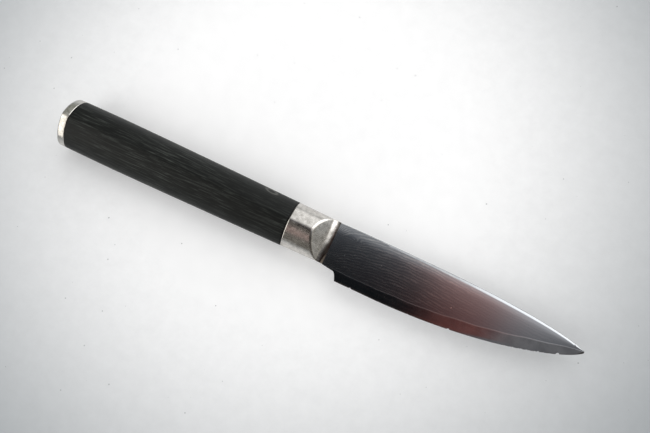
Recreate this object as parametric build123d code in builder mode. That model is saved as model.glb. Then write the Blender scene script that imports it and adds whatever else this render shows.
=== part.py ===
from build123d import *
from math import atan2, ceil, cos, degrees, radians, sin
import os

# A paring knife that lies on its left side: +X runs along the handle's axis to the tip, +Y is the
# side of the spine, and +Z is up, where the handle's ridge is. Lengths are in millimetres and angles
# in degrees. Places along the knife are measured from the bolster's front, where the blade starts.

# The whole knife
blade_length = 90.0
bolster_length = 15.8
grip_length = 84.3
cap_length = 3.1

# The D-shaped handle: half its width, the height of its ridge and the depth of its rounded back,
# at the bolster's front and at its widest place
front_half_width = 7.8
widest_half_width = 8.95
front_ridge_height = 6.75
widest_ridge_height = 9.4
front_back_depth = 6.2
widest_back_depth = 7.2
widest_place = 85.0
swell_curve_share = 1.35
section_spacing = 11.0

# The D's arcs. The ridge lies a little towards the spine. From it the outline turns from the slope
# beside the ridge to the turn where flank and side meet, is upright at its widest, and goes on to
# the turn where side and back meet.
ridge_offset_share = 0.06
ridge_radius = 1.4
ridge_slope = 16.0
flank_turn = 60.0
back_turn = 155.0

# The blade's outline, as heights above and drops below the handle's axis. The edge is level as far
# as the belly place and then curves up to the tip, and the spine dips a little towards the bolster.
spine_height = 7.9
spine_dip = 0.2
spine_dip_length = 16.0
edge_drop = 11.4
tip_height = 2.3
belly_place = 18.0
belly_curve_share = 2.05
spine_curve_share = 3.75
tip_curve_share = 0.75
worn_tip = 0.3

# The blade's thickness, half of it on each side of the middle
spine_half_thickness = 1.0
core_half_thickness = 0.31
taper_share = 0.6
taper_curve_share = 2.2
shoulder_thickness_share = 0.15
bevel_height_share = 0.035
spine_ease_share = 0.6
cheek_bulge_share = 0.07

# The notch between the blade's neck and its heel
neck_drop_at_bolster = 7.95
neck_drop_at_notch = 8.6
notch_place = 5.0
heel_place = 6.1
notch_radius = 1.4

# The ground flat and hollow on each side of the bolster
facet_angle = 50.0
hollow_radius = 3.3
bolster_step = 0.08
facet_edge_radius = 0.35

# The blade's tenon inside the bolster, and the tang that is forked over it
tenon_length = 8.0
tenon_height = 9.0
tenon_half_thickness = 0.6
fork_depth = 3.0
tang_half_thickness = 1.7
tang_front_height = 7.5
tang_rear_height = 5.0
tang_seat_in_cap = 1.5
fit_clearance = 0.05

# The bore in the wood, and the cap's spigot that seats in it
bore_height = 10.0
bore_width = 6.0
spigot_length = 4.0
spigot_clearance = 0.1
cap_edge_radius = 1.0

overrun = 2.0

# The row's origin is under the middle of the knife's box, on the surface that it lies on
handle_length = bolster_length + grip_length + cap_length
bolster_front = Vector(
    (handle_length - blade_length) / 2,
    (edge_drop - widest_half_width) / 2,
    widest_back_depth,
)
side = Plane(origin=bolster_front, x_dir=(1, 0, 0), z_dir=(0, 0, 1))
across = Plane(origin=bolster_front, x_dir=(0, 1, 0), z_dir=(1, 0, 0))

# The sharp point that the outline aims at, which is worn back to the blade's length
sharp_length = blade_length + worn_tip

wood_front = -bolster_length
wood_rear = wood_front - grip_length


def swelled(at_front, at_widest, place):
    """A size of the handle's section at a place, which grows from the front to the widest place."""
    swell = 1 - abs(1 + place / widest_place) ** swell_curve_share
    return at_front + (at_widest - at_front) * swell


def arc_radii(reach, fall, start_turn, middle_turn, end_turn):
    """The radii of two tangent arcs that together go out by a reach and down by a fall.

    Their outline's slope turns from the start turn to the middle turn and then to the end turn.
    """
    first_reach = sin(radians(middle_turn)) - sin(radians(start_turn))
    first_fall = cos(radians(start_turn)) - cos(radians(middle_turn))
    last_reach = sin(radians(end_turn)) - sin(radians(middle_turn))
    last_fall = cos(radians(middle_turn)) - cos(radians(end_turn))
    shared = first_reach * last_fall - last_reach * first_fall
    first_radius = (reach * last_fall - fall * last_reach) / shared
    last_radius = (fall * first_reach - reach * first_fall) / shared
    return first_radius, last_radius


def grip_section(place):
    """The handle's D: flanks that fall from a rounded ridge to the sides, and a rounded back."""
    half_width = swelled(front_half_width, widest_half_width, place)
    ridge = swelled(front_ridge_height, widest_ridge_height, place)
    back = swelled(front_back_depth, widest_back_depth, place)
    ridge_offset = ridge_offset_share * half_width
    slope = radians(ridge_slope)
    crest_reach = ridge_radius * sin(slope)
    crest_height = ridge - ridge_radius * (1 - cos(slope))
    under_radius, back_radius = arc_radii(-half_width, back, 90, back_turn, 180)
    with BuildSketch(across.offset(place)) as section:
        with BuildLine():
            crest = ThreePointArc(
                (ridge_offset - crest_reach, crest_height),
                (ridge_offset, ridge),
                (ridge_offset + crest_reach, crest_height),
            )
            for toward, start in ((-1, crest @ 0), (1, crest @ 1)):
                reach = half_width - toward * start.X
                flank_radius, side_radius = arc_radii(reach, start.Y, ridge_slope, flank_turn, 90)
                down_flank = (toward * cos(slope), -sin(slope))
                flank = JernArc(start, down_flank, flank_radius, toward * (ridge_slope - flank_turn))
                JernArc(flank @ 1, flank % 1, side_radius, toward * (flank_turn - 90))
                widest = (toward * half_width, 0)
                under = JernArc(widest, (0, -1), under_radius, toward * (90 - back_turn))
                JernArc(under @ 1, under % 1, back_radius, toward * (back_turn - 180))
        make_face()
    return section.sketch


def grip_sections(start, end):
    """The handle's sections at both ends of a piece and at even steps between."""
    steps = ceil((end - start) / section_spacing)
    return [grip_section(start + (end - start) * step / steps) for step in range(steps + 1)]


def blade_section(place):
    """A slice of the ground blade: cutting edge, bevel, cheek and eased spine, on both sides."""
    along = place / sharp_length
    belly = max(0, (place - belly_place) / (sharp_length - belly_place))
    dip = spine_dip * max(0, 1 - place / spine_dip_length) ** 2
    spine_rise = (spine_height - tip_height) * (1 - along**spine_curve_share) ** tip_curve_share
    edge_fall = (edge_drop + tip_height) * (1 - belly**belly_curve_share) ** tip_curve_share
    spine = tip_height + spine_rise - dip
    edge = tip_height - edge_fall
    half = spine_half_thickness * (1 - taper_share * along**taper_curve_share)
    spine_ease = min(spine_ease_share * half, (spine - edge) / 4)
    shoulder = (
        edge + bevel_height_share * (spine - edge),
        shoulder_thickness_share * half,
    )
    corner = (spine - spine_ease, half)
    cheek_middle = (
        (shoulder[0] + corner[0]) / 2,
        (shoulder[1] + corner[1]) / 2 + cheek_bulge_share * half,
    )
    with BuildSketch(across.offset(place)) as section:
        with BuildLine():
            Line((edge, 0), shoulder)
            ThreePointArc(shoulder, cheek_middle, corner)
            mirror(about=Plane.XZ)
            ThreePointArc(corner, (spine, 0), (corner[0], -corner[1]))
        make_face()
    return section.sketch


def blade_sections():
    """The blade's slices, which crowd together towards the tip, where its outline turns most."""
    steps = 16
    return [
        blade_section(blade_length * sin(radians(90 * step / steps))) for step in range(steps + 1)
    ]


# The whole ground blade, before it is parted into its layers

with BuildPart() as ground_blade:
    loft(blade_sections())
    with BuildSketch(across):
        Rectangle(tenon_height, 2 * tenon_half_thickness)
    extrude(amount=-tenon_length)
    with BuildSketch(side) as notch:
        with BuildLine():
            Polyline(
                (-overrun, -neck_drop_at_bolster),
                (0, -neck_drop_at_bolster),
                (notch_place, -neck_drop_at_notch),
                (heel_place, -edge_drop),
                (heel_place, -edge_drop - overrun),
                (-overrun, -edge_drop - overrun),
                close=True,
            )
        make_face()
        inner_corner = notch.vertices().sort_by_distance((notch_place, -neck_drop_at_notch))[0]
        fillet(inner_corner, radius=notch_radius)
    extrude(amount=spine_half_thickness + overrun, both=True, mode=Mode.SUBTRACT)

# The blade's three layers

with BuildPart() as blade_core:
    add(ground_blade.part)
    split(bisect_by=side.offset(core_half_thickness), keep=Keep.BOTTOM)
    split(bisect_by=side.offset(-core_half_thickness), keep=Keep.TOP)

with BuildPart() as cladding_right:
    add(ground_blade.part)
    split(bisect_by=side.offset(core_half_thickness), keep=Keep.TOP)

with BuildPart() as cladding_left:
    add(ground_blade.part)
    split(bisect_by=side.offset(-core_half_thickness), keep=Keep.BOTTOM)

# The tang: a flat bar, tapered towards the butt, with a fork in front that takes the tenon

tang_front = fork_depth - tenon_length
tang_rear = wood_rear - tang_seat_in_cap

with BuildPart() as tang:
    with BuildSketch(side):
        with BuildLine():
            Polyline(
                (tang_front, -tang_front_height / 2),
                (tang_front, tang_front_height / 2),
                (tang_rear, tang_rear_height / 2),
                (tang_rear, -tang_rear_height / 2),
                close=True,
            )
        make_face()
    extrude(amount=tang_half_thickness, both=True)
    with BuildSketch(across.offset(tang_front)):
        Rectangle(tenon_height, 2 * (tenon_half_thickness + fit_clearance))
    extrude(amount=-fork_depth, mode=Mode.SUBTRACT)

# The bolster: a short length of the D with the blade's cheeks ground back into it

cheek_height = (1 - bevel_height_share) * (edge_drop + spine_height)
cheek_tilt = degrees(atan2((1 - shoulder_thickness_share) * spine_half_thickness, cheek_height))
grind_height = 2 * front_ridge_height

with BuildPart() as bolster:
    loft(grip_sections(wood_front, 0), ruled=True)
    for up in (1, -1):
        grind_plane = Plane(
            origin=side.from_local_coords(Vector(0, spine_height, up * spine_half_thickness)),
            x_dir=(1, 0, 0),
            z_dir=(0, -up * cos(radians(cheek_tilt)), -sin(radians(cheek_tilt))),
        )
        with BuildSketch(grind_plane):
            with BuildLine():
                run_out = Line((overrun, bolster_step), (0, bolster_step))
                hollow = JernArc(run_out @ 1, (-1, 0), hollow_radius, -facet_angle)
                facet = PolarLine(hollow @ 1, grind_height, direction=hollow % 1)
                Polyline(facet @ 1, (overrun, (facet @ 1).Y), run_out @ 0)
            make_face()
        extrude(amount=2 * widest_half_width, both=True, mode=Mode.SUBTRACT)
        ground_flat = bolster.faces().filter_by(GeomType.PLANE).sort_by(Axis.Z)[-1 if up > 0 else 0]
        rim = ground_flat.edges().filter_by(GeomType.LINE, reverse=True)
        fillet(rim, radius=facet_edge_radius)
    with BuildSketch(across):
        Rectangle(tenon_height + fit_clearance, 2 * (tenon_half_thickness + fit_clearance))
    extrude(amount=-bolster_length, mode=Mode.SUBTRACT)
    with BuildSketch(across.offset(tang_front + fit_clearance)):
        Rectangle(
            tang_front_height + 2 * fit_clearance,
            2 * (tang_half_thickness + fit_clearance),
        )
    extrude(amount=-bolster_length, mode=Mode.SUBTRACT)

# The handle: the wooden sleeve with its bore

with BuildPart() as handle:
    loft(grip_sections(wood_rear, wood_front), ruled=True)
    with BuildSketch(across.offset(wood_front)):
        SlotOverall(bore_height, bore_width)
    extrude(amount=-grip_length, mode=Mode.SUBTRACT)

# The epoxy around the tang, from the bolster to the cap's spigot

with BuildPart() as adhesive_bed:
    with BuildSketch(across.offset(wood_front)):
        SlotOverall(bore_height, bore_width)
    extrude(amount=spigot_length - grip_length)
    add(tang.part, mode=Mode.SUBTRACT)

# The end cap: a thin length of the D with a rounded rim, and a spigot that holds the tang's end

with BuildPart() as end_cap:
    extrude(grip_section(wood_rear), amount=-cap_length)
    rim = end_cap.faces().sort_by(Axis.X)[0].edges()
    fillet(rim, radius=cap_edge_radius)
    with BuildSketch(across.offset(wood_rear)):
        SlotOverall(bore_height - 2 * spigot_clearance, bore_width - 2 * spigot_clearance)
    extrude(amount=spigot_length)
    with BuildSketch(across.offset(tang_rear - fit_clearance)):
        Rectangle(
            tang_rear_height + 2 * spigot_clearance,
            2 * (tang_half_thickness + fit_clearance),
        )
    extrude(amount=spigot_length + tang_seat_in_cap + overrun, mode=Mode.SUBTRACT)

blade_core.part.label = "blade_core"
cladding_right.part.label = "cladding_right"
cladding_left.part.label = "cladding_left"
tang.part.label = "tang"
bolster.part.label = "bolster"
handle.part.label = "handle"
adhesive_bed.part.label = "adhesive_bed"
end_cap.part.label = "end_cap"

os.makedirs("parts", exist_ok=True)
export_step(blade_core.part, "parts/blade_core.step")
export_step(cladding_right.part, "parts/cladding_right.step")
export_step(cladding_left.part, "parts/cladding_left.step")
export_step(tang.part, "parts/tang.step")
export_step(bolster.part, "parts/bolster.step")
export_step(handle.part, "parts/handle.step")
export_step(adhesive_bed.part, "parts/adhesive_bed.step")
export_step(end_cap.part, "parts/end_cap.step")
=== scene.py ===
# %% [markdown]
# # A paring knife in layered steel and dark wood
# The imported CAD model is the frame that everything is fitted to. Lengths are in metres. +X points
# from the handle to the tip, +Y is the side of the spine, and +Z is up from the floor, because the
# knife lies flat on its left side. Each visible solid is replaced by a finer surface worked out
# with numpy, and the two pieces held inside keep their CAD shape and get a finish.

# %% Load the frame
import bpy
import numpy as np
from mathutils import Matrix, Vector


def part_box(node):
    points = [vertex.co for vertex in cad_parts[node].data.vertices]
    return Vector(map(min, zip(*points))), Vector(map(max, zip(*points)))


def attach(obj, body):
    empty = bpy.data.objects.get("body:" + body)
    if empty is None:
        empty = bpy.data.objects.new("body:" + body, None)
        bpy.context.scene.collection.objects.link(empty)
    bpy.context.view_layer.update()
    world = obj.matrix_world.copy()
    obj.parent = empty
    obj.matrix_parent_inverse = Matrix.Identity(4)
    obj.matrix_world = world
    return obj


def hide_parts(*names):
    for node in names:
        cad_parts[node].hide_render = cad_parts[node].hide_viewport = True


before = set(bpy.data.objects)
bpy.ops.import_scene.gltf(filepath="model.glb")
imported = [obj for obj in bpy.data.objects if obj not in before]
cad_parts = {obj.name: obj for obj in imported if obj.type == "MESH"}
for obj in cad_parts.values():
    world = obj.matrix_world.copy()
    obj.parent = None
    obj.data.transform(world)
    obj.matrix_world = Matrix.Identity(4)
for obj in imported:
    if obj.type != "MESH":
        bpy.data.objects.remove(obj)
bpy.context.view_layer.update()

MM = 0.001

# %% [markdown]
# ## Measuring the frame
# A piece that replaces a CAD node has to stay exactly where the node is, so the driving sizes are
# read from the nodes' boxes, and the rest are shares of them. Places along the knife are measured
# from the front of the bolster, where the blade starts, and heights from the handle's axis.

# %% Sizes read from the nodes
handle_low, handle_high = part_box("handle")
bolster_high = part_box("bolster")[1]
cap_low, cap_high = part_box("end_cap")
core_low, core_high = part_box("blade_core")
tang_low, tang_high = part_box("tang")

blade_start = bolster_high.x
wood_front = handle_high.x
wood_rear = handle_low.x
butt = cap_low.x
axis_y = (handle_low.y + handle_high.y) / 2
middle_z = (core_low.z + core_high.z) / 2
blade_length = core_high.x - blade_start
handle_length = blade_start - butt

widest_half_width = (handle_high.y - handle_low.y) / 2
widest_ridge = handle_high.z - middle_z
widest_back = middle_z - handle_low.z
print(f"blade {blade_length / MM:.1f} mm, handle {handle_length / MM:.1f} mm with its metal ends")

# %% [markdown]
# ## The D-shaped section
# The handle has a section like a letter D lying on its back: a rounded ridge, two flanks, two
# sides and a shallow back. It is drawn as tangent arcs, and the one parameter is the angle that
# the outline's normal has turned away from straight up: 0 at the ridge, 90 degrees at the widest
# place and 180 in the middle of the back. A point is then a sum of sines and cosines, and the
# outward normal comes free, which makes it easy to ease an edge by moving points inwards.

# %% One ring of the section, for many places at once
COLUMNS = 240
around = np.radians(np.arange(COLUMNS) * 360 / COLUMNS)
turn = np.minimum(around, 2 * np.pi - around)
toward = np.where(around <= np.pi, 1.0, -1.0)

front_width_share, front_ridge_share, front_back_share = 0.8715, 0.718, 0.861
widest_place = 0.824 * handle_length
swell_curve = 1.35
ridge_offset_share = 0.06
ridge_radius = 3.4 * MM
flank_turns = np.radians((16, 60, 90))
back_turns = np.radians((90, 155, 180))


def arc_radii(reach, fall, turns):
    """The radii of two tangent arcs, from two equations: their reaches and their falls add up."""
    start, middle, end = turns
    first_reach, last_reach = np.sin(middle) - np.sin(start), np.sin(end) - np.sin(middle)
    first_fall, last_fall = np.cos(start) - np.cos(middle), np.cos(middle) - np.cos(end)
    shared = first_reach * last_fall - last_reach * first_fall
    first = (reach * last_fall - fall * last_reach) / shared
    last = (fall * first_reach - reach * first_fall) / shared
    return first, last


def grip_rings(places, insets=0.0):
    """Points of the D at places along X: each arc adds its radius times the change of the sine of
    the turn to the width, and takes its radius times the change of the cosine off the height."""
    place = np.atleast_1d(places)[:, None]
    inset = np.broadcast_to(insets, place.shape[:1])[:, None]
    swell = 1 - np.abs(1 - (blade_start - place) / widest_place) ** swell_curve
    half_width = widest_half_width * (front_width_share + (1 - front_width_share) * swell)
    ridge = widest_ridge * (front_ridge_share + (1 - front_ridge_share) * swell)
    back = widest_back * (front_back_share + (1 - front_back_share) * swell)
    offset = ridge_offset_share * half_width
    slope = flank_turns[0]
    reach = half_width - ridge_radius * np.sin(slope) - toward * offset
    fall = ridge - ridge_radius * (1 - np.cos(slope))
    flank, side = arc_radii(reach, fall, flank_turns)
    under, hollow_back = arc_radii(-half_width, back, back_turns)
    y = offset - inset * toward * np.sin(turn)
    z = ridge - inset * np.cos(turn)
    arcs = ((ridge_radius, 0, slope), (flank, *flank_turns[:2]), (side, *flank_turns[1:]),
            (under, *back_turns[:2]), (hollow_back, *back_turns[1:]))
    for radius, start, end in arcs:
        turned = np.clip(turn, start, end)
        y = y + toward * radius * (np.sin(turned) - np.sin(start))
        z = z - radius * (np.cos(start) - np.cos(turned))
    x = np.broadcast_to(place, y.shape)
    return np.stack((x, y + axis_y, z + middle_z), axis=-1)


# %% [markdown]
# ## From rings to a mesh
# Every piece of this knife is a stack of closed rings. Neighbouring rings are joined by four-sided
# faces, and the ends are either filled with one flat face or joined to each other, as on a tube
# with a bore. The sign of the enclosed volume says whether the faces point outwards.

# %% The mesh builder
sharp_angle = np.radians(25)


def in_scene(name, data):
    """An object made of mesh, lamp or camera data, linked into the scene."""
    made = bpy.data.objects.new(name, data)
    bpy.context.scene.collection.objects.link(made)
    return made


def piece_from_rings(name, rings, tube=False, values=None):
    """Joins each ring to the next, closes the two ends, turns all faces outwards and stores the
    values, one number for each point, under their names. Edges over the sharp angle stay sharp."""
    rows, columns = rings.shape[:2]
    points = rings.reshape(-1, 3)
    index = np.arange(rows * columns).reshape(rows, columns)
    upper = np.roll(index, -1, axis=0) if tube else index[1:]
    lower = index if tube else index[:-1]
    quads = np.stack((lower, np.roll(lower, -1, 1), np.roll(upper, -1, 1), upper), -1).reshape(-1, 4)
    faces = quads.tolist()
    a, b, c, d = (points[quads[:, corner]] for corner in range(4))
    volume = ((a * np.cross(b, c)).sum() + (a * np.cross(c, d)).sum()) / 6
    ends = () if tube else (index[0, ::-1], index[-1])
    for end in ends:
        faces.append(end.tolist())
        middle = points[end].mean(0)
        rim = points[end] - middle
        area = np.cross(rim, np.roll(rim, -1, 0)).sum(0) / 2
        volume += area @ middle / 3
    if volume < 0:
        faces = [face[::-1] for face in faces]
    mesh = bpy.data.meshes.new(name)
    mesh.from_pydata(points, [], faces)
    for label, numbers in (values or {}).items():
        stored = mesh.attributes.new(label, "FLOAT", "POINT")
        stored.data.foreach_set("value", np.ascontiguousarray(numbers, dtype=np.float32).ravel())
    mesh.validate()
    mesh.shade_smooth()
    mesh.set_sharp_from_angle(angle=sharp_angle)
    print(f"{name}: {len(faces)} faces, {abs(volume) * 1e6:.2f} cm3")
    return in_scene(name, mesh)


def quarter_circle(radius, count):
    """Points of an eased rim: the radius times one minus the cosine of the turn along the knife,
    and the radius times one minus its sine inwards."""
    corner = np.radians(np.linspace(0, 90, count))
    return radius * (1 - np.cos(corner)), radius * (1 - np.sin(corner))


def eased_places(start, end, ease, count, spacing):
    """Places from start to end with an eased rim at both, and how far in each ring is moved."""
    step, inward = quarter_circle(ease, count)
    way = np.sign(end - start)
    straight_count = int(abs(end - start) / spacing)
    straight = np.linspace(start + way * ease, end - way * ease, straight_count)[1:-1]
    places = np.concatenate((start + way * step, straight, end - way * step[::-1]))
    insets = np.concatenate((inward, np.zeros(len(straight)), inward[::-1]))
    return places, insets


# %% [markdown]
# ## The wooden sleeve
# On the real knife this is one block of black resin-bonded wood, drilled and broached for the
# tang, and ground to shape together with its metal ends. It could be a cylinder pushed into shape
# by hand, but the D changes its size along the handle, so rings worked out from the section are
# both simpler and exact. The rims of the wood are eased by a tenth of a millimetre and those of the
# metal by a quarter, which draws a thin dark and a thin bright line where they meet.

# %% Build the wooden sleeve
wood_ease, wood_rim_points = 0.12 * MM, 6
wood_spacing = 1.0 * MM
bore_half_height, bore_radius = 5.0 * MM, 3.0 * MM


def slot_ring(place, half_height, radius):
    """A slot with round ends: two half circles, moved apart along Y by the same amount."""
    apart = np.sign(np.round(np.sin(around), 9)) * (half_height - radius)
    y = axis_y + apart + radius * np.sin(around)
    z = middle_z + radius * np.cos(around)
    return np.stack((np.full_like(y, place), y, z), axis=-1)


places, insets = eased_places(wood_front, wood_rear, wood_ease, wood_rim_points, wood_spacing)
bore = [slot_ring(place, bore_half_height, bore_radius) for place in (wood_rear, wood_front)]
wood = piece_from_rings("wood_sleeve", np.concatenate((grip_rings(places, insets), bore)), tube=True)
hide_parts("handle")

# %% [markdown]
# ## The end cap
# A stainless disc with the same section closes the butt. Its outer rim is rounded by a millimetre,
# and a hollow spigot behind it seats in the wood and holds the end of the tang. One profile goes
# from the floor of the spigot's pocket out over the rim to the flat end, so the cap is one stack
# of rings too.

# %% Build the end cap
cap_rim_radius, cap_rim_points = 1.0 * MM, 10
metal_ease, metal_rim_points = 0.28 * MM, 5
spigot_length = cap_high.x - wood_rear
spigot_clearance = 0.1 * MM
tang_clearance = 0.05 * MM
pocket_floor = tang_low.x - tang_clearance


def box_ring(place, half_height, half_depth):
    """A rectangle as a function of the angle: sine and cosine, stretched and cut off at the corners."""
    y = axis_y + half_height * np.clip(np.sqrt(2) * np.sin(around), -1, 1)
    z = middle_z + half_depth * np.clip(np.sqrt(2) * np.cos(around), -1, 1)
    return np.stack((np.full_like(y, place), y, z), axis=-1)


tang_half_depth = (tang_high.z - tang_low.z) / 2
pocket_half_height = 2.6 * MM
pocket_half_depth = tang_half_depth + tang_clearance
rim_insets, rim_steps = quarter_circle(cap_rim_radius, cap_rim_points)
joint_steps, joint_insets = quarter_circle(metal_ease, metal_rim_points)
cap_places = np.concatenate((wood_rear - joint_steps, butt + rim_steps))
cap_insets = np.concatenate((joint_insets, rim_insets))
cap_rings = grip_rings(np.full(len(cap_places), wood_rear), cap_insets)
cap_rings[..., 0] = cap_places[:, None]
spigot_mouth = wood_rear + spigot_length
spigot_half_height, spigot_radius = bore_half_height - spigot_clearance, bore_radius - spigot_clearance
inner_rings = [
    box_ring(pocket_floor, pocket_half_height, pocket_half_depth),
    box_ring(spigot_mouth, pocket_half_height, pocket_half_depth),
    slot_ring(spigot_mouth, spigot_half_height, spigot_radius),
    slot_ring(wood_rear, spigot_half_height, spigot_radius),
]
cap = piece_from_rings("butt_cap", np.concatenate((inner_rings, cap_rings)))
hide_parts("end_cap")

# %% [markdown]
# ## The blade's section
# A slice of the blade is a narrow wedge: a small bevel at the edge, a long and slightly crowned
# cheek, and a rolled spine. The outline's two curves and the thickness are functions of the place
# along the blade. The half thickness is then a height over the blade's middle plane, so each layer
# of the laminate is only this height cut off at the border between the layers.

# %% Outline and thickness as functions
tip_overrun = 0.3 * MM
sharp_length = blade_length + tip_overrun
spine_height, edge_drop = 7.9 * MM, axis_y - core_low.y
tip_height = 2.3 * MM
belly_place = 0.2 * blade_length
spine_power, edge_power, closing_power = 3.75, 2.05, 0.75
dip_depth, dip_length = 0.2 * MM, 16 * MM
spine_half = 1.0 * MM
core_half = 0.31 * MM
edge_half = 0.012 * MM
taper_share, taper_power = 0.6, 2.2
shoulder_share, bevel_share = 0.15, 0.035
bulge_share = 0.07
spine_band_share = 0.125
band_tilt = np.tan(np.radians(5.2))
band_softness = 0.5 * MM
roll_start = np.radians(22)
roll_at_bolster, roll_growth = 0.28, 1.2
roll_full_place = 0.85 * blade_length
roll_limit_share = 1 / 6


def outline(place):
    """Spine and edge: both run level and then close in on the tip like a flattened circle. Beside
    the bolster the spine dips a little. The third curve is half the thickness at the spine."""
    along = place / sharp_length
    belly = np.maximum(0, (place - belly_place) / (sharp_length - belly_place))
    dip = dip_depth * np.maximum(0, 1 - place / dip_length) ** 2
    spine = tip_height + (spine_height - tip_height) * (1 - along**spine_power) ** closing_power - dip
    edge = tip_height - (edge_drop + tip_height) * (1 - belly**edge_power) ** closing_power
    half = spine_half * (1 - taper_share * along**taper_power)
    return spine, edge, half


def spine_roll(place, spine, edge, half):
    """Height of the rolled spine: it grows along the blade by a smooth step, three squares less
    two cubes, and stays under a share of the blade's height."""
    wider = np.clip(place / roll_full_place, 0, 1)
    ease = half * (roll_at_bolster + roll_growth * wider**2 * (3 - 2 * wider))
    return np.minimum(ease, (spine - edge) * roll_limit_share)


def half_thickness(spine, edge, half, y):
    """Height of the cheek over the middle plane: a straight bevel, then a straight rise with a
    crown of share times one minus share on it. Over the last stretch below the spine the cheek is
    tilted back by a few degrees, and the logarithm of one plus a power makes that bend soft."""
    height = spine - edge
    shoulder = edge + bevel_share * height
    bevel = edge_half + (shoulder_share * half - edge_half) * (y - edge) / (shoulder - edge)
    share = (y - shoulder) / (spine - shoulder)
    cheek = half * (shoulder_share + (1 - shoulder_share) * share + 4 * bulge_share * share * (1 - share))
    bend = spine - spine_band_share * height
    cheek = cheek - band_tilt * band_softness * np.logaddexp(0, (y - bend) / band_softness)
    return np.where(y < shoulder, bevel, cheek)


# %% [markdown]
# ## Notch, nicks and the border of the core
# Between bolster and heel the blade is cut in to a narrower neck with one rounded inner corner.
# The edge has been used hard: single nicks, and a stretch of fine teeth before the tip. Both could
# be cut out of the finished mesh, but here they only raise the lower boundary of the section and
# leave its thickness alone, so a real wall shows where metal is missing.

# %% The lower boundary
neck_at_bolster, neck_at_notch = -7.95 * MM, -8.6 * MM
notch_place, heel_place, notch_radius = 5.0 * MM, 6.1 * MM, 2.0 * MM
# Place, width and depth of each nick, in millimetres
nicks = ((12.0, 0.7, 0.26), (33.0, 0.5, 0.10), (47.05, 0.8, 0.32), (76.5, 0.7, 0.25), (82.4, 1.1, 0.48))
teeth_middle, teeth_reach, teeth_height = 72.5, 8.2, 0.22 * MM
# Radians a millimetre of the two waves that make the teeth, no two alike
fine_wave, broad_wave = 3.6, 1.3


def soft_minimum(a, b, softness):
    """The smaller of two heights, with a parabola across the crease between them."""
    blend = np.clip(0.5 + 0.5 * (b - a) / softness, 0, 1)
    return b + (a - b) * blend - softness * blend * (1 - blend)


def lower_boundary(place, edge):
    """In the notch the lower of the neck's line and the heel's line, with a soft corner between
    them, and behind it the edge, raised by half ellipses for the nicks and by waves for the teeth."""
    neck = neck_at_bolster + (neck_at_notch - neck_at_bolster) * place / notch_place
    heel = neck_at_notch - (place - notch_place) * (neck_at_notch + edge_drop) / (heel_place - notch_place)
    notch = soft_minimum(neck, heel, notch_radius)
    worn, x_mm = edge.copy(), place / MM
    for centre, width, depth in nicks:
        gap = np.clip(1 - ((x_mm - centre) / (width / 2)) ** 2, 0, 1)
        worn += depth * MM * np.sqrt(gap)
    in_teeth = np.sqrt(np.clip(1 - np.abs(x_mm - teeth_middle) / teeth_reach, 0, 1))
    teeth = np.abs(np.sin(x_mm * fine_wave) * np.sin(x_mm * broad_wave + 0.7))
    worn += teeth_height * in_teeth * teeth
    return np.where(place < heel_place, np.maximum(notch, edge), worn)


# %% [markdown]
# ## The curves that run along the blade
# The blade is a sandwich: a hard core that is bare at the edge, and a sheet of layered steel on
# each cheek. All three pieces share the same curves: the lower boundary, the line where the core
# comes out from under the sheets, and the spine with a tiny burr near the tip. Solving the cheek's
# equation for the border's height gives that line, so it isn't drawn by hand. The places lie close
# together in the notch and towards the tip, where the curves turn fastest.

# %% Curves along the blade
ring_count, notch_rings = 900, 50
notch_zone = (3.2, 6.2)
least_gap = 0.004 * MM
spread = np.sin(np.radians(np.linspace(0, 90, ring_count)))
places = np.union1d(blade_length * spread, np.linspace(*notch_zone, notch_rings) * MM)
places = places[np.append(np.diff(places) > least_gap, True)]

burr_place, burr_width, burr_height = 86.6 * MM, 0.3 * MM, 0.22 * MM
least_left_share = 0.3
spine, edge, half = outline(places)
spine = spine + burr_height * np.exp(-((places - burr_place) / burr_width) ** 2)
low = np.minimum(lower_boundary(places, edge), spine - least_left_share * (spine - edge))

border_sway = 0.007 * MM
short_sway, long_sway = 0.42, 0.137
bare_least = 0.02 * MM
sway = np.sin(places / MM * short_sway) * np.sin(places / MM * long_sway + 1)
border = core_half + border_sway * sway
crown = 4 * bulge_share
rise = 1 - shoulder_share + crown
root = np.sqrt(rise**2 - 4 * crown * (border / half - shoulder_share))
shoulder = edge + bevel_share * (spine - edge)
core_line = shoulder + (rise - root) / (2 * crown) * (spine - shoulder)
first = np.maximum(core_line, low + bare_least)
roll = spine_roll(places, spine, edge, half)
corner = spine - roll
corner_half = half_thickness(spine, edge, half, corner)
print(f"{len(places)} places, core bare for {(core_line - low).max() / MM:.1f} mm at most")

# %% [markdown]
# ## Columns across the blade
# The curves have one number for each ring. Steps from one curve to another are laid beside each
# other as columns, which makes a whole strip of the surface at once. The rolled spine could be an
# arc of a circle, but it is flat beside the bolster and high near the tip, so it is an ellipse's.

# %% Columns and the rolled spine
def column(curve):
    """One number for each ring, turned to stand beside other columns."""
    return curve[:, None]


def between(start, end, steps):
    """Even steps from one curve to another, as columns beside each other."""
    return column(start) + column(end - start) * np.linspace(0, 1, steps)


def rolled(turns):
    """Part of an ellipse over the spine: it starts at the cheek with the roll's first angle and
    ends upright, so its heights follow the sine and its depths the cosine of the turn."""
    y = column(spine) - column(roll) * (1 - np.sin(turns)) / (1 - np.sin(roll_start))
    z = column(corner_half) * np.cos(turns) / np.cos(roll_start)
    return y, z


roll_steps, last_steps = 12, 6
border_turn = np.arccos(np.clip(border * np.cos(roll_start) / corner_half, 0, 1))
roll_y, roll_z = rolled(between(np.full_like(places, roll_start), border_turn, roll_steps)[:, 1:])
last_y, last_z = rolled(between(border_turn, np.full_like(places, np.pi / 2), last_steps))

# %% [markdown]
# ## The core layer
# Ring by ring, the core goes up one side to the spine and down the other: first the bare cheek,
# then the flat that the sheet covers, then its part of the spine. Behind the neck it ends in the
# tenon that the bolster holds, which is two more rings with the same number of points.

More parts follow.
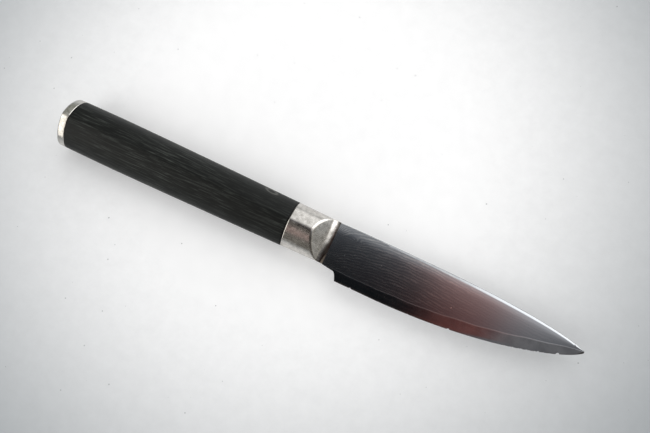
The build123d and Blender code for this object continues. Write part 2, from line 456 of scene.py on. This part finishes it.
# %% Build the core
tenon_rear = core_low.x - blade_start
tenon_half_height, tenon_half_depth = 4.5 * MM, 0.6 * MM
cheek_steps, flat_steps = 12, 4


def blade_rings(y, z):
    """Rings of points from the heights and depths at every place along the blade."""
    x = np.broadcast_to(column(places) + blade_start, y.shape)
    return np.stack((x, y + axis_y, z + middle_z), axis=-1)


def with_tenon(rings, y, z):
    """Puts a ring at the tenon's end and one at the bolster's front before the blade's own."""
    tenon = np.stack((np.full_like(y, blade_start), y + axis_y, z + middle_z), axis=-1)
    rear = tenon - np.array((-tenon_rear, 0, 0))
    return np.concatenate((rear[None], tenon[None], rings))


cheek_y = between(low, first, cheek_steps)
flat_y = between(first, last_y[:, 0], flat_steps)[:, 1:-1]
core_y = np.concatenate((cheek_y, flat_y, last_y), axis=1)
cheek_z = half_thickness(column(spine), column(edge), column(half), cheek_y)
cheek_z = np.minimum(cheek_z, column(border))
core_z = np.concatenate((cheek_z, np.broadcast_to(column(border), flat_y.shape), last_z), axis=1)
ring_y = np.concatenate((core_y, core_y[:, -2::-1]), axis=1)
ring_z = np.concatenate((core_z, -core_z[:, -2::-1]), axis=1)
top_count = core_y.shape[1]
tenon_y = tenon_half_height * np.linspace(-1, 1, top_count)
tenon_y = np.concatenate((tenon_y, tenon_y[-2::-1]))
tenon_z = core_half * np.where(np.arange(len(tenon_y)) < top_count, 1.0, -1.0)
core = piece_from_rings("core_layer", with_tenon(blade_rings(ring_y, ring_z), tenon_y, tenon_z))
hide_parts("blade_core")

# %% [markdown]
# ## The two layered sheets
# A sheet goes along the cheek, over its part of the spine and back along the core. On the real
# blade dozens of sheets were forge-welded into it, and grinding cut through them at a low angle.
# A function of place and height follows those layers: its value is the depth in the stack, and the
# material draws a line wherever it passes another layer. It could be a plain wave texture, but
# then the lines wouldn't close in around the eye beside the bolster as they do on a ground blade.

# %% Build the sheets
layer_step = 0.006 * MM
sheet_steps, under_steps = 46, 6
arch_slope = 0.16
# Place, softness (both in millimetres) and change of slope of the arch's two bends
arch_bends = ((27, 4, -0.27), (55, 6, 0.1))
fall_height, fall_reach = 5.5, 2.5
eye_place, eye_size, eye_height = (6.4, 4.0), (2.4, 1.0), 2.2


def layer_depth(place, y):
    """Millimetres through the forged stack: the height, less an arch whose slope changes softly
    at its bends, plus a fall beside the bolster and a round hill that the lines close around."""
    x_mm, y_mm = place / MM, y / MM
    arch = arch_slope * x_mm
    for bend, softness, change in arch_bends:
        arch = arch + change * softness * np.logaddexp(0, (x_mm - bend) / softness)
    beside_bolster = fall_height * np.exp(-x_mm / fall_reach)
    eye_x, eye_y = (x_mm - eye_place[0]) / eye_size[0], (y_mm - eye_place[1]) / eye_size[1]
    return y_mm - arch + beside_bolster + eye_height * np.exp(-(eye_x**2) - eye_y**2)


def behind_too(numbers):
    """Repeats the first ring's numbers for the two rings of the tenon."""
    return np.concatenate((numbers[:1], numbers[:1], numbers))


sheet_y = between(first, corner, sheet_steps)
sheet_z = half_thickness(column(spine), column(edge), column(half), sheet_y)
top_y = np.concatenate((sheet_y, roll_y), axis=1)
top_z = np.maximum(np.concatenate((sheet_z, roll_z), axis=1), column(border) + layer_step)
under_y = between(last_y[:, 0], first, under_steps)
under_z = np.broadcast_to(column(border), under_y.shape)
ring_y = np.concatenate((top_y, under_y), axis=1)
ring_z = np.concatenate((top_z, under_z), axis=1)
sheet_values = {
    "layer_depth": behind_too(layer_depth(column(places), ring_y)),
    "from_border": behind_too((ring_y - column(core_line)) / MM),
}
top_count, under_count = top_y.shape[1], under_y.shape[1]
tenon_y = np.concatenate((np.linspace(-1, 1, top_count), np.linspace(1, -1, under_count)))
tenon_z = np.concatenate((np.full(top_count, tenon_half_depth), np.full(under_count, core_half)))
sheets = []
for name, node_name, side in (("right_layer", "cladding_right", 1), ("left_layer", "cladding_left", -1)):
    rings = with_tenon(blade_rings(ring_y, side * ring_z), tenon_half_height * tenon_y, side * tenon_z)
    sheet = piece_from_rings(name, rings, values=sheet_values)
    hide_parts(node_name)
    sheets.append(sheet)

# %% [markdown]
# ## The bolster
# The collar carries the handle's D on, and then each cheek of the blade is ground back into it: a
# slanting flat that ends in a small hollow. Cutting solids from each other would leave a rim as
# sharp as a knife. Here the D's height is limited by the height of the grind with a soft minimum,
# which rounds the rim as polishing does. Each point also stores how far it is from the blade, in
# millimetres, less low down and more high up: the shade painted into the finish follows that number.

# %% Build the bolster
facet_slope = np.radians(50)
hollow_radius = 3.8 * MM
grind_step = 0.03 * MM
rim_softness = 0.8 * MM
grind_crown_radius = 22 * MM
crown_fade = 2 * MM
collar_gap, collar_spacing = 0.08 * MM, 0.075 * MM
tenon_clearance = 0.025 * MM
tenon_slot = (tenon_half_height + tenon_clearance, tenon_half_depth + tang_clearance)
tang_slot = ((tang_high.y - tang_low.y) / 2 + tang_clearance, tang_half_depth + tang_clearance)
slot_shoulder = tang_high.x + tang_clearance
# Heights over the axis and how much the distance changes there, in millimetres, for the painted shade
shade_heights, shade_shifts = (-3, 2, 2.5, 5), (-1, 0, 0, 0.3)


def grind_height(x, y):
    """Height of the grind over the middle plane: the blade's own cheek, plus a part of a circle
    that turns up to the facet's slope, and then the facet's straight rise. Away from the axis a
    square takes a little off, because a belt that gives leaves a slightly crowned flat."""
    back = blade_start - x
    spine_0, edge_0, half_0 = outline(np.zeros(1))
    inside = np.clip(y - axis_y, neck_at_bolster, spine_0)
    cheek = half_thickness(spine_0, edge_0, half_0, inside)
    curved = np.minimum(back, hollow_radius * np.sin(facet_slope))
    hollow = hollow_radius - np.sqrt(hollow_radius**2 - curved**2)
    crowned = (y - axis_y) ** 2 / (2 * grind_crown_radius) * back / (back + crown_fade)
    return cheek + grind_step + hollow + (back - curved) * np.tan(facet_slope) - crowned


joint_rows = wood_front + joint_steps
even_rows = np.arange(joint_rows[-1] + collar_gap, blade_start, collar_spacing)
rows = np.concatenate((joint_rows, even_rows, [blade_start]))
insets = np.concatenate((joint_insets, np.zeros(len(rows) - len(joint_insets))))
rings = grip_rings(rows, insets)
height = rings[..., 2] - middle_z
limit = grind_height(rings[..., 0], rings[..., 1])
ground = np.maximum(soft_minimum(np.abs(height), limit, rim_softness), 0)
rings[..., 2] = middle_z + np.sign(height) * ground
inside = [
    box_ring(blade_start, *tenon_slot),
    box_ring(slot_shoulder, *tenon_slot),
    box_ring(slot_shoulder, *tang_slot),
    box_ring(wood_front, *tang_slot),
]
collar_rings = np.concatenate((rings, inside))
height_mm = (collar_rings[..., 1] - axis_y) / MM
from_blade = (blade_start - collar_rings[..., 0]) / MM
from_blade = from_blade + np.interp(height_mm, shade_heights, shade_shifts)
collar = piece_from_rings("bolster_collar", collar_rings, tube=True, values={"from_blade": from_blade})
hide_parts("bolster")

for piece in (wood, cap, core, collar, *sheets):
    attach(piece, "root")

# %% [markdown]
# ## Nodes and colours
# A material is a small network of nodes. One function adds any node: its settings are given by
# name, and each input is a number, a colour or an earlier node. Colours are written as sRGB hex
# values, as a colour picker shows them, and turned to the linear values that light is added up in.
# The scale of a texture is one over the real size of its pattern. Scratches and pores are finer
# than a pixel, so they are drawn about a third of a millimetre wide, which is what shows.

# %% Helpers for materials
def hex_colour(code):
    """sRGB to linear: the straight piece near black, and the power of 2.4 above it."""
    srgb = np.array([int(code[place:place + 2], 16) for place in (1, 3, 5)]) / 255
    linear = np.where(srgb <= 0.04045, srgb / 12.92, ((srgb + 0.055) / 1.055) ** 2.4)
    return (*linear, 1.0)


def add(tree, kind, inputs=None, **settings):
    """Adds a node, sets its properties and fills its inputs with numbers, hex colours, outputs or
    nodes. Of a node it takes the first output that is in use with that node's settings."""
    made = tree.nodes.new("ShaderNode" + kind)
    for name, value in settings.items():
        setattr(made, name, value)
    for name, value in (inputs or {}).items():
        if isinstance(value, bpy.types.Node):
            value = next(output for output in value.outputs if output.enabled)
        if isinstance(value, bpy.types.NodeSocket):
            tree.links.new(value, made.inputs[name])
        else:
            made.inputs[name].default_value = hex_colour(value) if isinstance(value, str) else value
    return made


# A step that starts and ends gently
SMOOTH = {"interpolation_type": "SMOOTHSTEP"}


def product(tree, first, *others):
    """Factors multiplied with each other, two at a time."""
    for other in others:
        first = add(tree, "Math", {0: first, 1: other}, operation="MULTIPLY")
    return first


def covered(tree, below, layers):
    """Colours laid over each other, each as far as its own factor lets it. The inputs 6 and 7 are
    the ones for colours."""
    for factor, above in layers:
        below = add(tree, "Mix", {"Factor": factor, 6: below, 7: above}, data_type="RGBA")
    return below


def drawn_out(tree, place, sizes_mm, inputs, turn=0.0):
    """Noise with its own size along each axis, turned by an angle on the floor."""
    scale = tuple(1 / (size * MM) for size in sizes_mm)
    stretched = add(tree, "Mapping", {"Vector": place, "Rotation": (0, 0, turn), "Scale": scale})
    return add(tree, "TexNoise", {"Vector": stretched, "Scale": 1.0, **inputs})


def new_material(name):
    """A material with an empty network, and Object coordinates in metres to start from."""
    made = bpy.data.materials.new(name)
    made.use_nodes = True
    made.node_tree.nodes.clear()
    place = add(made.node_tree, "TexCoord").outputs["Object"]
    return made, made.node_tree, place


def shade(made, inputs):
    """Ends a material's network with the shader that takes these inputs."""
    tree = made.node_tree
    add(tree, "OutputMaterial", {"Surface": add(tree, "BsdfPrincipled", inputs)})
    print(f"{made.name}: {len(tree.nodes)} nodes")


# %% [markdown]
# ## Black resin-bonded wood
# Thin sheets of birch are soaked in black dye and resin and pressed to a block. Sanded along the
# grain, it looks like dull ebony: nearly black, with fine lighter streaks about 10 mm long where
# the pores catch the light, and a soft sheen rather than a gloss. The last half millimetre at both
# ends is painted nearly black as shade where the wood meets the metal, and near the bolster a faint
# ring is worn into the sheen.

# %% Finish the wood
wood_finish, tree, place = new_material("black_resin_bonded_wood_sanded")
grain = {"Detail": 4.0, "Roughness": 0.62, "Distortion": 0.25}
streaks = drawn_out(tree, place, (9, 0.34, 0.34), grain, turn=np.radians(0.8))
streak_mask = add(tree, "MapRange", {"Value": streaks, "From Min": 0.47, "From Max": 0.66}, **SMOOTH)
broad = add(tree, "TexNoise", {"Vector": place, "Scale": 1 / (22 * MM), "Detail": 2.0})
broad_mask = add(tree, "MapRange", {"Value": broad, "From Min": 0.35, "From Max": 0.68, "To Min": 0.35})

wood_middle, half_wood = (wood_front + wood_rear) / 2, (wood_front - wood_rear) / 2
# Painted shade at the joints with the metal: the last half millimetre at both ends goes nearly black.
joint_shade_band = 0.6 * MM
to_middle = add(tree, "VectorMath", {0: place, 1: (wood_middle, 0, 0)}, operation="SUBTRACT")
from_middle = add(tree, "SeparateXYZ", {0: to_middle}).outputs["X"]
past_middle = add(tree, "Math", {0: from_middle}, operation="ABSOLUTE")
painted_joint_shade = add(tree, "MapRange", {
    "Value": past_middle, "From Min": half_wood - joint_shade_band, "From Max": half_wood - 0.5 * joint_shade_band})

# In the worn ring's own size the ring lies one from its centre
ring_centre = (blade_start - 26 * MM, axis_y + 7.1 * MM, middle_z + 4 * MM)
ring_size, ring_turn = (2.1 * MM, 0.75 * MM, 3.5 * MM), np.radians(-8)
ring_place = add(tree, "Mapping", {
    "Vector": place, "Location": ring_centre, "Rotation": (0, 0, ring_turn), "Scale": ring_size},
    vector_type="TEXTURE")
from_centre = add(tree, "VectorMath", {0: ring_place}, operation="LENGTH")
past_ring = add(tree, "Math", {0: from_centre, 1: 1.0}, operation="SUBTRACT")
from_ring = add(tree, "Math", {0: past_ring}, operation="ABSOLUTE")
ring_mark = add(tree, "MapRange", {"Value": from_ring, "From Min": 0.45, "From Max": 0.05}, **SMOOTH)

# The nearly black over both ends is painted shade at the joints with the metal.
wood_colour = covered(tree, "#0d0f0e", (
    (product(tree, streak_mask, broad_mask), "#3b3e3b"),
    (painted_joint_shade, "#020202"),
    (product(tree, ring_mark, streaks), "#6c6c68"),
))
wood_roughness = add(tree, "MapRange", {
    "Value": streaks, "From Min": 0.3, "From Max": 0.7, "To Min": 0.42, "To Max": 0.55})
wood_bump = add(tree, "Bump", {"Height": streaks, "Strength": 0.35, "Distance": 0.06 * MM})
shade(wood_finish, {
    "Base Color": wood_colour, "Roughness": wood_roughness, "Normal": wood_bump, "IOR": 1.5,
    "Specular IOR Level": 0.18})

# %% [markdown]
# ## Satin stainless steel
# Bolster and cap are ground on a belt and then buffed. That leaves very fine scratches along the
# direction of the belt, so highlights are drawn out across them, and small clouds in the tone
# where the buff pressed harder. On the bolster, shade in the hollow beside the blade is painted
# into the colour as a dark brown that reaches further back on the side of the edge. It could be
# painted by hand, but here the distance that the bolster's points store gives its form, and the
# clouds make its rim uneven.

# %% Finish the bolster and the cap
def satin_steel(name, has_painted_shade):
    """Scratches along the knife, clouds in the tone, and on the bolster painted shade beside the blade."""
    cloud_height, shade_rim_wobble_mm = 0.7, 1.6
    made, tree, place = new_material(name)
    scratches = drawn_out(tree, place, (6, 0.35, 0.35), {"Detail": 5.0, "Roughness": 0.6})
    clouds = add(tree, "TexNoise", {
        "Vector": place, "Scale": 1 / (1.6 * MM), "Detail": 5.0, "Roughness": 0.65})
    tone = add(tree, "MapRange", {"Value": clouds, "From Min": 0.35, "From Max": 0.65})
    layers = [(tone, "#d6d3ce")]
    if has_painted_shade:
        # Painted shade in the hollow beside the blade: a dark brown that reaches further back on the side
        # of the edge, with an uneven rim.
        from_blade = add(tree, "Attribute", attribute_name="from_blade").outputs["Fac"]
        shade_distance = add(tree, "Math", {0: clouds, 1: shade_rim_wobble_mm, 2: from_blade}, operation="MULTIPLY_ADD")
        painted_bolster_shade = add(tree, "MapRange", {"Value": shade_distance, "From Min": 2.5, "From Max": 0.9}, **SMOOTH)
        layers.append((painted_bolster_shade, "#554e48"))
    colour = covered(tree, "#aeaba6", layers)
    roughness = add(tree, "MapRange", {
        "Value": scratches, "From Min": 0.3, "From Max": 0.7, "To Min": 0.16, "To Max": 0.28})
    height = add(tree, "Math", {0: clouds, 1: cloud_height, 2: scratches}, operation="MULTIPLY_ADD")
    bump = add(tree, "Bump", {"Height": height, "Strength": 0.22, "Distance": 0.02 * MM})
    shade(made, {"Base Color": colour, "Roughness": roughness, "Normal": bump, "Metallic": 1.0})
    return made


satin_cap = satin_steel("stainless_steel_belt_ground_and_buffed", has_painted_shade=False)
satin_bolster = satin_steel("stainless_steel_buffed_with_painted_shade", has_painted_shade=True)

# %% [markdown]
# ## Layered steel, ground and etched
# Two steels are forge-welded in dozens of sheets, and grinding the cheek cuts through them like a
# plane through plywood. Acid darkens the one and leaves the other bright, which shows as wavy
# lines. They are the sine of the depth in the stack, bent by a slow noise, and both the colour and
# the roughness follow them. They are stronger in patches, stop short of the core, and fade towards
# the tip, where the etching is worn off. Along the weld to the core a bright line is painted as a
# highlight, and it fades in the same way. Three small pits get painted glints.

# %% Finish the layered sheets
layered, tree, place = new_material("pattern_welded_steel_ground_and_etched")
layer_spacing, wander_reach, line_height = 0.95, 2.0, 0.3
depth_in_stack = add(tree, "Attribute", attribute_name="layer_depth").outputs["Fac"]
wander = drawn_out(tree, place, (4.4, 2.0, 4.4), {"Detail": 5.0, "Roughness": 0.6})
moved = add(tree, "Math", {0: wander, 1: wander_reach, 2: depth_in_stack}, operation="MULTIPLY_ADD")
line_wave = add(tree, "Math", {0: product(tree, moved, 2 * np.pi / layer_spacing)}, operation="SINE")
line = add(tree, "MapRange", {"Value": line_wave, "From Min": -1.0, "From Max": 1.0}, **SMOOTH)
patches = drawn_out(tree, place, (7, 1.6, 7), {"Detail": 5.0, "Roughness": 0.7})
patch_strength = add(tree, "MapRange", {
    "Value": patches, "From Min": 0.36, "From Max": 0.66, "To Min": 0.12})

from_border = add(tree, "Attribute", attribute_name="from_border").outputs["Fac"]
inside_sheet = add(tree, "MapRange", {"Value": from_border, "From Min": 0.15, "From Max": 0.9}, **SMOOTH)
# A painted highlight: a bright line along the weld to the core, fading out into the sheet.
weld_highlight_mask = add(tree, "MapRange", {"Value": from_border, "From Min": 0.3, "From Max": 0.12}, **SMOOTH)
along = add(tree, "SeparateXYZ", {0: place}).outputs["X"]
etched_depth = add(tree, "MapRange", {
    "Value": along, "From Min": blade_start + 24 * MM, "From Max": blade_start + 60 * MM,
    "To Min": 1.0, "To Max": 0.12}, **SMOOTH)
lines = product(tree, line, patch_strength, etched_depth, inside_sheet)
painted_weld_highlight = product(tree, weld_highlight_mask, etched_depth)
# The etched lines and the painted highlight at the weld, in one mask for colour, roughness and relief.
etched_lines_and_painted_highlight = add(tree, "Math", {0: lines, 1: painted_weld_highlight}, operation="MAXIMUM")

# Places of the pits, in millimetres along the blade and over the handle's axis, each with a painted glint
pits = ((18.54, -0.02), (45.17, -2.92), (5.69, -1.99))
pit_radius = 0.24 * MM
flat_place = add(tree, "VectorMath", {0: place, 1: (1, 1, 0)}, operation="MULTIPLY")
painted_pit_glints = 0.0
for pit_x, pit_y in pits:
    pit_place = (blade_start + pit_x * MM, axis_y + pit_y * MM, 0)
    away = add(tree, "VectorMath", {0: flat_place, 1: pit_place}, operation="DISTANCE")
    one_pit_glint = add(tree, "MapRange", {
        "Value": away, "From Min": 1.3 * pit_radius, "From Max": 0.5 * pit_radius})
    painted_pit_glints = add(tree, "Math", {0: painted_pit_glints, 1: one_pit_glint}, operation="MAXIMUM")

# cccccb is the etched lines' bright steel and the painted highlight at the weld; #f0eeea is the painted
# glints of the pits.
layer_colour = covered(tree, "#a2a5a9", ((etched_lines_and_painted_highlight, "#cccccb"), (painted_pit_glints, "#f0eeea")))
layer_roughness = add(tree, "MapRange", {"Value": etched_lines_and_painted_highlight, "To Min": 0.135, "To Max": 0.155})
scratches = drawn_out(tree, place, (9, 0.3, 9), {"Detail": 3.0})
relief = add(tree, "Math", {0: etched_lines_and_painted_highlight, 1: line_height, 2: scratches}, operation="MULTIPLY_ADD")
layer_bump = add(tree, "Bump", {"Height": relief, "Strength": 0.12, "Distance": 0.003 * MM})
shade(layered, {
    "Base Color": layer_colour, "Roughness": layer_roughness, "Normal": layer_bump, "Metallic": 1.0})

# %% [markdown]
# ## Core steel, ground and honed
# The core is one hard carbon steel without layers. The stone runs along the edge, so its scratches
# do too, and it mirrors the room more sharply than the etched sheets. Use has dulled it a little in
# soft clouds.

# %% Finish the core
honed, tree, place = new_material("core_steel_ground_and_honed")
hone_lines = drawn_out(tree, place, (7, 0.25, 0.25), {"Detail": 4.0})
clouds = add(tree, "TexNoise", {"Vector": place, "Scale": 1 / (4 * MM), "Detail": 3.0})
dulled = add(tree, "MapRange", {"Value": clouds, "From Min": 0.35, "From Max": 0.7})
core_roughness = add(tree, "MapRange", {
    "Value": hone_lines, "From Min": 0.3, "From Max": 0.7, "To Min": 0.07, "To Max": 0.12})
core_bump = add(tree, "Bump", {"Height": hone_lines, "Strength": 0.2, "Distance": 0.006 * MM})
shade(honed, {
    "Base Color": covered(tree, "#b1b1b2", ((dulled, "#9b9b9d"),)),
    "Roughness": core_roughness, "Normal": core_bump, "Metallic": 1.0})

# %% [markdown]
# ## The two hidden pieces
# The tang is mill-finished bar, duller than anything that shows, with the faint mottle of the
# rolling mill. The adhesive around it is epoxy: amber and a little cloudy, with small bubbles.
# Nobody sees them in the assembled knife, but they show as soon as someone takes it apart.

# %% Finish the tang and the adhesive
mill, tree, place = new_material("stainless_bar_mill_finished")
mottle = add(tree, "TexNoise", {"Vector": place, "Scale": 1 / (1.5 * MM), "Detail": 4.0})
mill_roughness = add(tree, "MapRange", {"Value": mottle, "To Min": 0.4, "To Max": 0.6})
shade(mill, {
    "Base Color": covered(tree, "#8d8c88", ((mottle, "#b4b2ad"),)),
    "Roughness": mill_roughness, "Metallic": 1.0})

resin, tree, place = new_material("epoxy_adhesive_cured")
cloud = add(tree, "TexNoise", {"Vector": place, "Scale": 1 / (4 * MM), "Detail": 3.0})
bubbles = add(tree, "TexVoronoi", {"Vector": place, "Scale": 1 / (1.2 * MM)})
resin_bump = add(tree, "Bump", {
    "Height": bubbles.outputs["Distance"], "Strength": 0.3, "Distance": 0.1 * MM})
shade(resin, {
    "Base Color": covered(tree, "#a88a4e", ((cloud, "#c9b27c"),)),
    "Roughness": 0.25, "Normal": resin_bump, "IOR": 1.55})

# %% Put the finishes on
finishes = (
    (wood, wood_finish, "dark_wood"),
    (cap, satin_cap, "satin_stainless"),
    (collar, satin_bolster, "satin_stainless"),
    (core, honed, "core_steel"),
    *((sheet, layered, "layered_steel") for sheet in sheets),
)
for piece, finish, slot in finishes:
    piece.data.materials.append(finish)
for node_name, finish in (("tang", mill), ("adhesive_bed", resin)):
    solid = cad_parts[node_name]
    for slot in solid.material_slots:
        slot.link = "OBJECT"
        slot.material = finish
    print(node_name, "now has", finish.name)

# %% [markdown]
# ## The floor
# The knife lies on matt white board. It is brightest beside the knife and falls off towards the
# corners, as it does under two lamps that stand close by. The fall-off is part of the board's
# colour here, so that it stays when the lamps are moved. Where the board is brightest it glows a
# little for the camera and in mirrors, as an overexposed white does. A fine mottle and a few dark
# specks of dust lie on it.

# %% Make the floor
floor_radius, floor_circles, floor_spokes = 1.5, 24, 96
bright_place = (-17 * MM, 31 * MM, 0)
circle_radii = floor_radius * np.linspace(0, 1, floor_circles)[1:, None] ** 2
angles = np.linspace(0, 2 * np.pi, floor_spokes, endpoint=False)
level = np.zeros((len(circle_radii), floor_spokes))
floor_points = np.stack((circle_radii * np.cos(angles), circle_radii * np.sin(angles), level), axis=-1)
index = np.arange(level.size).reshape(level.shape)
inner, outer = index[:-1], index[1:]
floor_quads = np.stack((inner, outer, np.roll(outer, -1, 1), np.roll(inner, -1, 1)), -1).reshape(-1, 4)
floor_mesh = bpy.data.meshes.new("board")
floor_mesh.from_pydata(floor_points.reshape(-1, 3), [], floor_quads.tolist() + [index[0].tolist()])
floor = in_scene("board", floor_mesh)

board, tree, place = new_material("white_board_matt")
from_bright = add(tree, "VectorMath", {0: place, 1: bright_place}, operation="DISTANCE")
near = add(tree, "MapRange", {"Value": from_bright, "From Min": 46 * MM, "From Max": 172 * MM}, **SMOOTH)
far = add(tree, "MapRange", {"Value": from_bright, "From Min": 200 * MM, "From Max": 650 * MM})
mottle = add(tree, "TexNoise", {"Vector": place, "Scale": 1 / (5 * MM), "Detail": 6.0, "Roughness": 0.7})
mottle_dark = add(tree, "MapRange", {
    "Value": mottle, "From Min": 0.3, "From Max": 0.7, "To Min": 0.07, "To Max": 0.0})
specks = add(tree, "TexVoronoi", {"Vector": place, "Scale": 1 / (7 * MM)}, voronoi_dimensions="2D")
chosen = add(tree, "SeparateColor", {0: specks.outputs["Color"]}).outputs["Red"]
speck_size = add(tree, "MapRange", {"Value": chosen, "From Min": 0.86, "From Max": 1.0, "To Max": 0.042})
speck = add(tree, "Math", {0: specks.outputs["Distance"], 1: speck_size}, operation="LESS_THAN")
dust_share = 0.42
dust = add(tree, "Math", {0: speck, 1: dust_share, 2: mottle_dark}, operation="MULTIPLY_ADD")
board_colour = covered(tree, "#fafafa", ((near, "#a3a8ab"), (far, "#dadbdc"), (dust, "#5d5e60")))
seen = add(tree, "LightPath")
seen_directly = add(tree, "Math", {
    0: seen.outputs["Is Camera Ray"], 1: seen.outputs["Is Glossy Ray"]}, operation="MAXIMUM")
whitened = add(tree, "MapRange", {"Value": near, "To Min": 0.12, "To Max": 0.0})
fibre = add(tree, "TexNoise", {"Vector": place, "Scale": 1 / (2 * MM), "Detail": 4.0})
board_bump = add(tree, "Bump", {"Height": fibre, "Strength": 0.1, "Distance": 0.05 * MM})
shade(board, {
    "Base Color": board_colour, "Normal": board_bump, "Roughness": 0.9, "Specular IOR Level": 0.2,
    "Emission Strength": product(tree, seen_directly, whitened), "Emission Color": (1, 1, 1, 1)})
floor.data.materials.append(board)

# %% [markdown]
# ## The room that the steel mirrors
# Polished steel has almost no colour of its own: it shows the room. Straight over this knife the
# room is a dark strip, and beside it, towards the spine, lies a lighter one. Both turn warm a few
# degrees towards the tip and grey beyond that. Behind the spine the room is bright, in front of
# the edge it is dim with one pale patch, and towards the butt it is grey with a bright corner. It
# could be a modelled room, but two angles of a ray are enough: how far it leans along the knife,
# and how far across it from straight up. Mirror rays see this room, and all others a plain grey.

# %% Make the world
world = bpy.data.worlds.new("room")
bpy.context.scene.world = world
world.use_nodes = True
tree = world.node_tree
tree.nodes.clear()
direction = add(tree, "TexCoord").outputs["Generated"]
way = add(tree, "SeparateXYZ", {0: direction}).outputs
lean_x = add(tree, "Math", {0: way["X"]}, operation="ARCSINE")
lean_y = add(tree, "Math", {0: way["Y"], 1: way["Z"]}, operation="ARCTAN2")
leans = add(tree, "CombineXYZ", {"X": lean_x, "Y": lean_y})


def ramp(value, start, end):
    """A smooth step of a value between two angles in degrees."""
    start, end = np.radians((start, end))
    return add(tree, "MapRange", {"Value": value, "From Min": start, "From Max": end}, **SMOOTH)


pale_place = (*np.radians((-8, -46)), 0)
from_pale = add(tree, "VectorMath", {0: leans, 1: pale_place}, operation="DISTANCE")
behind_spine = ramp(lean_y, 2, 38)
left_of_camera = ramp(lean_x, -10, -22)
lamp_corner = product(tree, left_of_camera, ramp(lean_y, 12, -20))
warm_place, grey_place = ramp(lean_x, 1.6, 6.4), ramp(lean_x, 7.9, 10.4)
low_strip = covered(tree, "#14181b", ((warm_place, "#794a46"), (grey_place, "#7c7d80")))
high_strip = covered(tree, "#565a60", ((ramp(lean_x, 0.5, 5.0), "#cfa39d"), (grey_place, "#d8d8da")))
room = covered(tree, low_strip, (
    (ramp(lean_y, 1.0, 8.0), high_strip),
    (ramp(lean_y, -10, -24), "#4a4643"),
    (ramp(from_pale, 18, 4), "#a18c88"),
    (ramp(lean_y, -58, -72), "#625f5a"),
    (left_of_camera, "#8d8e88"),
    (product(tree, ramp(lean_x, 16, 34), ramp(lean_x, 72, 52), ramp(lean_y, -10, 20)), "#f4f2ee"),
    (behind_spine, "#ffffff"),
    (product(tree, behind_spine, ramp(lean_x, -9, -17)), "#93958f"),
    (lamp_corner, "#fffcf5"),
    (ramp(lean_x, 56, 74), "#a3a19c"),
))
lamp_head = product(tree, ramp(lean_x, 3, 11), ramp(lean_x, 74, 50), ramp(lean_y, 13, 31))
corner_share = 0.75
lamp_heads = add(tree, "Math", {
    0: lamp_head, 1: product(tree, lamp_corner, corner_share)}, operation="MAXIMUM")
lamp_strength = add(tree, "MapRange", {"Value": lamp_heads, "To Min": 1.2, "To Max": 2.6})
mirrored = add(tree, "Background", {"Color": room, "Strength": lamp_strength})
plain = add(tree, "Background", {"Color": "#d3d3d3", "Strength": 1.0})
mirror_ray = add(tree, "LightPath").outputs["Is Glossy Ray"]
shown = add(tree, "MixShader", {0: mirror_ray, 1: plain, 2: mirrored})
add(tree, "OutputWorld", {"Surface": shown})
print(f"room: {len(tree.nodes)} nodes")

# %% [markdown]
# ## Two soft lamps
# A large soft lamp stands behind the spine and a weaker one in front, low on the side of the butt.
# Together they leave a soft shadow on both sides of the handle. Mirror rays pass them by, because
# the room already holds their bright image.

# %% Place the lamps
lamps = (
    ("soft_lamp_behind", (60, 600, 600), 1000, 2.55),
    ("soft_lamp_front", (-420, -420, 420), 500, 1.15),
)
for name, place_mm, size_mm, watts in lamps:
    light = bpy.data.lights.new(name, "AREA")
    light.shape = "DISK"
    light.size = size_mm * MM
    light.energy = watts
    lamp = in_scene(name, light)
    lamp.location = Vector(place_mm) * MM
    lamp.rotation_euler = (-lamp.location).to_track_quat("-Z", "Y").to_euler()
    lamp.visible_glossy = False
    print(f"{name}: {watts} W, {size_mm} mm wide")

# %% [markdown]
# ## The camera
# The photograph was taken from above and a little from the side of the edge, with the picture's
# horizontal turned against the knife. Place, aim and turn were worked out from the outline of the
# handle and the blade, and the focal length from how much wider the nearer end looks.

# %% Place the camera
camera_place = Vector((32.05, -33.99, 263.44)) * MM
camera_aim = Vector((0.469, 8.586, 7.2)) * MM
picture_turn = np.radians(25.49)
sensor_width, focal_length = 36, 42.31
forward = (camera_aim - camera_place).normalized()
level = Vector((np.cos(picture_turn), np.sin(picture_turn), 0))
level.z = -(forward.x * level.x + forward.y * level.y) / forward.z
right = level.normalized()
up = right.cross(forward)
lens_data = bpy.data.cameras.new("camera")
lens_data.sensor_width = sensor_width
lens_data.lens = focal_length
lens_data.clip_start = 10 * MM
camera = in_scene("camera", lens_data)
turned = Matrix((right, up, -forward)).transposed().to_4x4()
camera.matrix_world = Matrix.Translation(camera_place) @ turned
bpy.context.scene.camera = camera
bpy.context.scene.view_settings.view_transform = "Standard"
print(f"the camera is {(camera_aim - camera_place).length / MM:.0f} mm from its aim")
